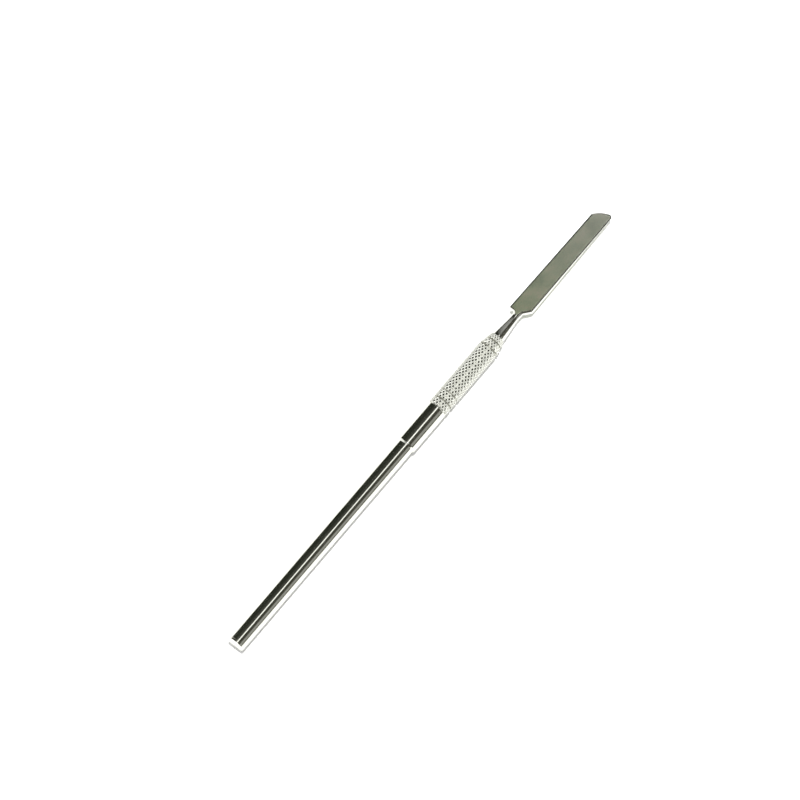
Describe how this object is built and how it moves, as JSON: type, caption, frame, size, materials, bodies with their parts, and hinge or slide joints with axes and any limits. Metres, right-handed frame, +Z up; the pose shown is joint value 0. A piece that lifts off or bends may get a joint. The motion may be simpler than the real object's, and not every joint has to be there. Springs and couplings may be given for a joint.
{
  "type": "metal spudger",
  "caption": "Slim all-metal spudger for prying electronics cases open: flat tapering blade on a narrow neck, knurled grip and polished round handle.",
  "frame": {"origin": "under the middle of the tool's length, on the surface that the grip lies on", "axes": "+X along the tool from the handle's end to the blade's tip, +Y across the blade towards its square shoulder, +Z up, out of the blade's flat"},
  "size_m": [0.18, 0.0068, 0.0067],
  "materials": {
    "polished_steel": "polished, with fine lengthwise and turning marks",
    "knurled_steel": "bright, diamond-knurled",
    "blade_steel": "fine-ground satin, slightly greenish grey",
    "turned_steel": "plain turned"
  },
  "bodies": {
    "root": {"end_plug": "polished_steel", "handle_tube": "polished_steel", "core_spindle": "turned_steel", "handle_pin": "turned_steel", "collar": "polished_steel", "grip_sleeve": "knurled_steel", "blade_pin": "turned_steel", "blade": "blade_steel"}
  },
  "joints": []
}
